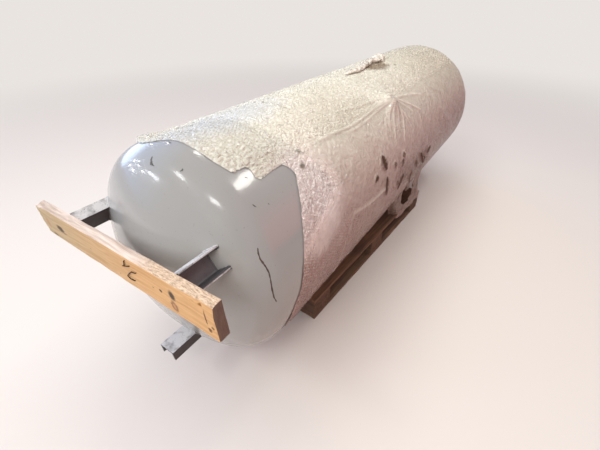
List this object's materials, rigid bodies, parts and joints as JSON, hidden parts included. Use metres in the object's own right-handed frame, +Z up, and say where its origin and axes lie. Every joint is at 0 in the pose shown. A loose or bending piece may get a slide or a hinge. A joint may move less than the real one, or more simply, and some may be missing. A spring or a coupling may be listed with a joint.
{
  "type": "horizontal pressure tank on a pallet",
  "caption": "Steel pressure vessel with dished ends and channel legs, lying wrapped in bubble film on a timber pallet, with a plank across its legs.",
  "frame": {"origin": "on the floor under the middle of the whole: vessel, wrap, plank and pallet", "axes": "+Z up, X along the vessel's axis, with the leg end at -X and the far end at +X; +Y is left as seen from the leg end"},
  "size_m": [2.9154, 0.9856, 1.0573],
  "materials": {
    "vessel_paint": "gloss",
    "leg_steel": "satin",
    "plank_pine": "sawn",
    "bubble_film": "translucent film",
    "pallet_wood": "rough sawn, aged"
  },
  "bodies": {
    "root": {"shell": "vessel_paint", "near_head": "vessel_paint", "far_head": "vessel_paint", "socket": "vessel_paint", "leg_right": "leg_steel", "leg_bottom": "leg_steel", "leg_left": "leg_steel", "plank": "plank_pine", "wrap_sleeve": "bubble_film", "wrap_far_end": "bubble_film", "deck_board_1": "pallet_wood", "deck_board_2": "pallet_wood", "deck_board_3": "pallet_wood", "deck_board_4": "pallet_wood", "deck_board_5": "pallet_wood", "cross_board_near": "pallet_wood", "cross_board_middle": "pallet_wood", "cross_board_far": "pallet_wood", "block_near_right": "pallet_wood", "block_near_middle": "pallet_wood", "block_near_left": "pallet_wood", "block_middle_right": "pallet_wood", "block_middle_middle": "pallet_wood", "block_middle_left": "pallet_wood", "block_far_right": "pallet_wood", "block_far_middle": "pallet_wood", "block_far_left": "pallet_wood", "bottom_board_right": "pallet_wood", "bottom_board_middle": "pallet_wood", "bottom_board_left": "pallet_wood"}
  },
  "joints": []
}
